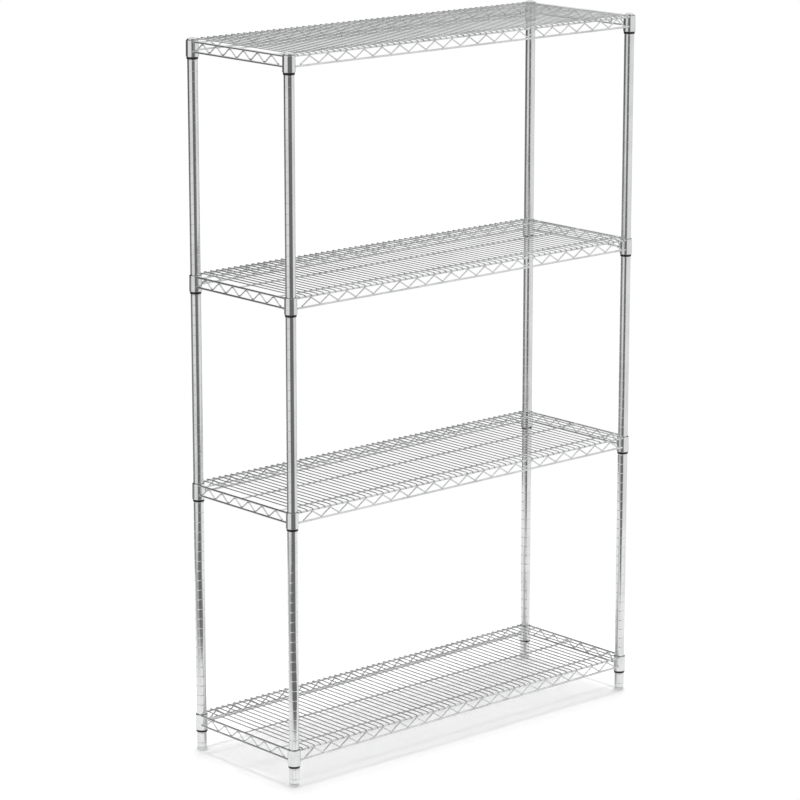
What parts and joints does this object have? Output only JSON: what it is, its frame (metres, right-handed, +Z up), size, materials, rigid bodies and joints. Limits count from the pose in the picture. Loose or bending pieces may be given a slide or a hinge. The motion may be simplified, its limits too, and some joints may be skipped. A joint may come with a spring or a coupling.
{
  "type": "wire shelving unit",
  "caption": "Free-standing chrome wire shelving unit: grooved round posts carry welded wire shelves on split tapered sleeves, so a shelf lifts off and resets at any groove.",
  "frame": {"origin": "on the floor, in the middle of the unit's footprint", "axes": "+Z up along the posts, +X along the long side, +Y from front to back; the front faces -Y"},
  "size_m": [1.174, 0.3998, 1.829],
  "materials": {
    "post_chrome": "bright chrome-plated steel tube with rolled grooves",
    "wire_chrome": "bright chrome-plated drawn steel wire",
    "collar_chrome": "bright chrome-plated steel collar",
    "sleeve_plastic": "black moulded plastic, satin",
    "cap_plastic": "pale grey moulded plastic, satin",
    "insert_steel": "plain zinc-plated steel",
    "foot_steel": "zinc-plated steel"
  },
  "bodies": {
    "posts": {"post_front_left": "post_chrome", "cap_front_left": "cap_plastic", "foot_insert_front_left": "insert_steel", "post_front_right": "post_chrome", "cap_front_right": "cap_plastic", "foot_insert_front_right": "insert_steel", "post_back_left": "post_chrome", "cap_back_left": "cap_plastic", "foot_insert_back_left": "insert_steel", "post_back_right": "post_chrome", "cap_back_right": "cap_plastic", "foot_insert_back_right": "insert_steel", "top_shelf_sleeve_front_left": "sleeve_plastic", "top_shelf_sleeve_front_right": "sleeve_plastic", "top_shelf_sleeve_back_left": "sleeve_plastic", "top_shelf_sleeve_back_right": "sleeve_plastic", "upper_shelf_sleeve_front_left": "sleeve_plastic", "upper_shelf_sleeve_front_right": "sleeve_plastic", "upper_shelf_sleeve_back_left": "sleeve_plastic", "upper_shelf_sleeve_back_right": "sleeve_plastic", "lower_shelf_sleeve_front_left": "sleeve_plastic", "lower_shelf_sleeve_front_right": "sleeve_plastic", "lower_shelf_sleeve_back_left": "sleeve_plastic", "lower_shelf_sleeve_back_right": "sleeve_plastic", "bottom_shelf_sleeve_front_left": "sleeve_plastic", "bottom_shelf_sleeve_front_right": "sleeve_plastic", "bottom_shelf_sleeve_back_left": "sleeve_plastic", "bottom_shelf_sleeve_back_right": "sleeve_plastic"},
    "top_shelf": {"top_shelf_collars": "collar_chrome", "top_shelf_edge_wires": "wire_chrome", "top_shelf_truss_wires": "wire_chrome", "top_shelf_support_wires": "wire_chrome", "top_shelf_deck_wires": "wire_chrome"},
    "upper_shelf": {"upper_shelf_collars": "collar_chrome", "upper_shelf_edge_wires": "wire_chrome", "upper_shelf_truss_wires": "wire_chrome", "upper_shelf_support_wires": "wire_chrome", "upper_shelf_deck_wires": "wire_chrome"},
    "lower_shelf": {"lower_shelf_collars": "collar_chrome", "lower_shelf_edge_wires": "wire_chrome", "lower_shelf_truss_wires": "wire_chrome", "lower_shelf_support_wires": "wire_chrome", "lower_shelf_deck_wires": "wire_chrome"},
    "bottom_shelf": {"bottom_shelf_collars": "collar_chrome", "bottom_shelf_edge_wires": "wire_chrome", "bottom_shelf_truss_wires": "wire_chrome", "bottom_shelf_support_wires": "wire_chrome", "bottom_shelf_deck_wires": "wire_chrome"},
    "levelling_foot_front_left": {"levelling_foot_front_left": "foot_steel"},
    "levelling_foot_front_right": {"levelling_foot_front_right": "foot_steel"},
    "levelling_foot_back_left": {"levelling_foot_back_left": "foot_steel"},
    "levelling_foot_back_right": {"levelling_foot_back_right": "foot_steel"}
  },
  "joints": [
    {"name": "top_shelf_lift", "type": "slide", "parent": "posts", "child": "top_shelf", "axis": [0, 0, 1], "range_m": [0, 0.06]},
    {"name": "upper_shelf_lift", "type": "slide", "parent": "posts", "child": "upper_shelf", "axis": [0, 0, 1], "range_m": [0, 0.53]},
    {"name": "lower_shelf_lift", "type": "slide", "parent": "posts", "child": "lower_shelf", "axis": [0, 0, 1], "range_m": [0, 0.48]},
    {"name": "bottom_shelf_lift", "type": "slide", "parent": "posts", "child": "bottom_shelf", "axis": [0, 0, 1], "range_m": [0, 0.555]},
    {"name": "levelling_foot_front_left_screw", "type": "slide", "parent": "posts", "child": "levelling_foot_front_left", "axis": [0, 0, -1], "range_m": [0, 0.015]},
    {"name": "levelling_foot_front_right_screw", "type": "slide", "parent": "posts", "child": "levelling_foot_front_right", "axis": [0, 0, -1], "range_m": [0, 0.015]},
    {"name": "levelling_foot_back_left_screw", "type": "slide", "parent": "posts", "child": "levelling_foot_back_left", "axis": [0, 0, -1], "range_m": [0, 0.015]},
    {"name": "levelling_foot_back_right_screw", "type": "slide", "parent": "posts", "child": "levelling_foot_back_right", "axis": [0, 0, -1], "range_m": [0, 0.015]}
  ]
}
